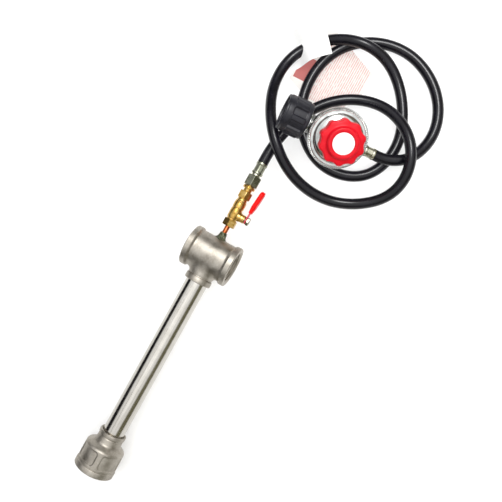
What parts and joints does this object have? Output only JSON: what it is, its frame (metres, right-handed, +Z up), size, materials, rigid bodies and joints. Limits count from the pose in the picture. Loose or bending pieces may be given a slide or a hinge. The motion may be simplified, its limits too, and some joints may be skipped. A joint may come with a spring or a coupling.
{
  "type": "propane torch",
  "caption": "Roofing torch: flame bell and tube on an air-intake tee, gas jet, ball valve with lever, rubber hose and adjustable regulator, lying flat with its hose coiled.",
  "frame": {"origin": "middle of the bounding box's bottom face, without the hose and what is on it; the torch lies on the floor at z = 0", "axes": "+X along the burner, out of the flame bell's mouth; +Z up from the floor it lies on; +Y towards the side the valve lever and the regulator lie on"},
  "size_m": [0.6206, 0.2417, 0.1004],
  "materials": {
    "stainless_cast": "satin grey cast stainless steel",
    "stainless_tube": "polished stainless tube",
    "copper": "drawn copper, a little dulled",
    "braze": "dark brazing fillet",
    "brass": "machined bright brass",
    "ball_chrome": "chrome-plated ball",
    "ptfe": "white PTFE",
    "zinc_plate": "olive-grey zinc plating",
    "lever_steel": "plated strip steel",
    "red_vinyl": "bright red dipped vinyl",
    "hose_rubber": "glossy black rubber",
    "die_cast": "die-cast grey metal",
    "cover_plate": "bright pressed steel",
    "black_rubber": "black nitrile rubber",
    "spring_steel": "spring wire",
    "knob_red": "red moulded plastic",
    "label_white": "blank white printed disc",
    "nut_black": "charcoal moulded plastic",
    "bushing_black": "black plastic bushing",
    "paper": "white paper"
  },
  "bodies": {
    "torch": {"flame_bell": "stainless_cast", "burner_tube": "stainless_tube", "intake_tee": "stainless_cast", "jet_pipe": "copper", "jet_nozzle": "brass", "braze_fillet": "braze", "valve_body": "brass", "ball_seat_lower": "ptfe", "ball_seat_upper": "ptfe", "valve_retainer": "brass", "flare_nipple": "brass", "stem_packing": "ptfe", "gland_nut": "brass", "hose_tail": "zinc_plate", "burner_ferrule": "zinc_plate", "hose": "hose_rubber", "regulator_ferrule": "zinc_plate", "outlet_tail": "zinc_plate", "regulator_body": "die_cast", "regulator_cover": "cover_plate", "bottom_plug": "brass", "orifice_seat": "brass", "poppet": "brass", "poppet_spring": "spring_steel", "diaphragm": "black_rubber", "diaphragm_plate": "zinc_plate", "adjusting_spring": "spring_steel", "inlet_nipple": "brass", "inlet_washer": "zinc_plate", "nose_seal": "black_rubber", "check_spring": "spring_steel", "leaflet": "paper", "hose_card": "paper"},
    "valve_handle": {"valve_ball": "ball_chrome", "valve_stem": "zinc_plate", "valve_lever": "lever_steel", "lever_sleeve": "red_vinyl", "lever_nut": "zinc_plate"},
    "swivel_nut": {"swivel_nut": "zinc_plate"},
    "cylinder_nut": {"cylinder_nut": "nut_black", "nut_bushing": "bushing_black"},
    "spring_button": {"spring_button": "zinc_plate"},
    "adjusting_knob": {"adjusting_knob": "knob_red", "knob_label": "label_white", "adjusting_screw": "zinc_plate"},
    "check_plunger": {"check_plunger": "brass"}
  },
  "joints": [
    {"name": "valve_lever_turn", "type": "hinge", "parent": "torch", "child": "valve_handle", "pos_m": [-0.0396, -0.04026, 0.025], "axis": [0, 1, 0], "range_deg": [0, 90]},
    {"name": "swivel_nut_turn", "type": "hinge", "parent": "torch", "child": "swivel_nut", "pos_m": [-0.0846, -0.04026, 0.025], "axis": [1, 0, 0], "continuous": true},
    {"name": "cylinder_nut_turn", "type": "hinge", "parent": "torch", "child": "cylinder_nut", "pos_m": [-0.16917, -0.02804, 0.05539], "axis": [0.0883, -0.9522, 0.2924], "continuous": true},
    {"name": "spring_button_travel", "type": "slide", "parent": "torch", "child": "spring_button", "axis": [0.2653, 0.3054, 0.9145], "range_m": [-0.0025, 0.00125], "deforming": ["adjusting_spring"]},
    {"name": "knob_turn", "type": "hinge", "parent": "spring_button", "child": "adjusting_knob", "pos_m": [-0.16226, 0.03473, 0.07987], "axis": [0.2653, 0.3054, 0.9145], "range_deg": [-720, 360]},
    {"name": "check_plunger_travel", "type": "slide", "parent": "torch", "child": "check_plunger", "axis": [0.0883, -0.9522, 0.2924], "range_m": [-0.003, 0], "stiffness_N_per_m": 300, "springref_m": 0.002, "deforming": ["check_spring"]}
  ],
  "couplings": [
    {"joint": "knob_turn", "follows": "spring_button_travel", "rad_per_m": 5026.5}
  ]
}
